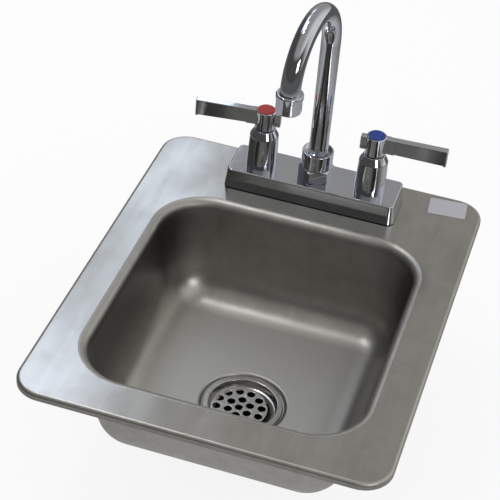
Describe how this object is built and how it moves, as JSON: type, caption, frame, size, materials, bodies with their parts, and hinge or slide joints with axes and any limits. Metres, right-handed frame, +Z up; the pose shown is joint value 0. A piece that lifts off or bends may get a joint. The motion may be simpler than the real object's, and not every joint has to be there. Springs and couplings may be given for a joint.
{
  "type": "drop-in hand sink",
  "caption": "Drop-in stainless hand sink with a rectangular bowl, perforated drain strainer and a deck-mounted gooseneck tap worked by hot and cold levers.",
  "frame": {"origin": "centre of the rim's outline on the worktop plane, where the foam strip under the rim rests", "axes": "+X to the user's right, -Y towards the user (the tap is at the back, +Y), +Z up"},
  "size_m": [0.305, 0.381, 0.364],
  "materials": {
    "satin_steel": "satin, lightly brushed",
    "plain_steel": "plain mill finish",
    "drain_steel": "turned satin",
    "strainer_steel": "punched and polished",
    "tap_chrome": "mirror plated",
    "yellow_brass": "machined",
    "black_rubber": "matte",
    "grey_foam": "closed-cell foam",
    "putty": "matte",
    "fibre": "pressed fibre",
    "white_plastic": "moulded",
    "white_ceramic": "lapped",
    "red_plastic": "gloss",
    "blue_plastic": "gloss",
    "silver_label": "matte foil, blank"
  },
  "bodies": {
    "sink": {"sink_basin": "satin_steel", "rim_seal": "grey_foam", "clip_rails": "plain_steel", "blank_label": "silver_label", "drain_body": "drain_steel", "drain_putty_ring": "putty", "drain_gasket": "black_rubber", "drain_friction_washer": "fibre", "drain_locknut": "yellow_brass", "faucet_base_pad": "black_rubber", "faucet_base": "tap_chrome", "brass_waterway": "yellow_brass", "shank_washers": "plain_steel", "shank_locknuts": "yellow_brass", "spout_socket": "tap_chrome", "spout_glide_washer": "white_plastic", "spout_nut": "tap_chrome", "hot_cartridge": "yellow_brass", "hot_seat_seal": "black_rubber", "hot_fixed_disc": "white_ceramic", "hot_bonnet": "tap_chrome", "hot_supply_shank": "yellow_brass", "cold_cartridge": "yellow_brass", "cold_seat_seal": "black_rubber", "cold_fixed_disc": "white_ceramic", "cold_bonnet": "tap_chrome", "cold_supply_shank": "yellow_brass"},
    "spout": {"gooseneck_tube": "tap_chrome", "spout_ferrule": "yellow_brass", "spout_o_rings": "black_rubber", "aerator_housing": "tap_chrome", "aerator_insert": "white_plastic", "aerator_washer": "black_rubber"},
    "hot_handle": {"hot_lever": "tap_chrome", "hot_index_button": "red_plastic", "hot_handle_screw": "plain_steel", "hot_stem": "yellow_brass", "hot_stem_o_ring": "black_rubber", "hot_turning_disc": "white_ceramic"},
    "cold_handle": {"cold_lever": "tap_chrome", "cold_index_button": "blue_plastic", "cold_handle_screw": "plain_steel", "cold_stem": "yellow_brass", "cold_stem_o_ring": "black_rubber", "cold_turning_disc": "white_ceramic"},
    "strainer": {"strainer_plate": "strainer_steel"}
  },
  "joints": [
    {"name": "hot_lever_turn", "type": "hinge", "parent": "sink", "child": "hot_handle", "pos_m": [-0.0508, 0.1485, 0.06], "axis": [0, 0, 1], "range_deg": [0, 90]},
    {"name": "cold_lever_turn", "type": "hinge", "parent": "sink", "child": "cold_handle", "pos_m": [0.0508, 0.1485, 0.06], "axis": [0, 0, 1], "range_deg": [-90, 0]},
    {"name": "spout_swivel", "type": "hinge", "parent": "sink", "child": "spout", "pos_m": [0, 0.1485, 0.05], "axis": [0, 0, 1], "continuous": true},
    {"name": "strainer_lift", "type": "slide", "parent": "sink", "child": "strainer", "axis": [0, 0, 1], "range_m": [0, 0.125]}
  ]
}
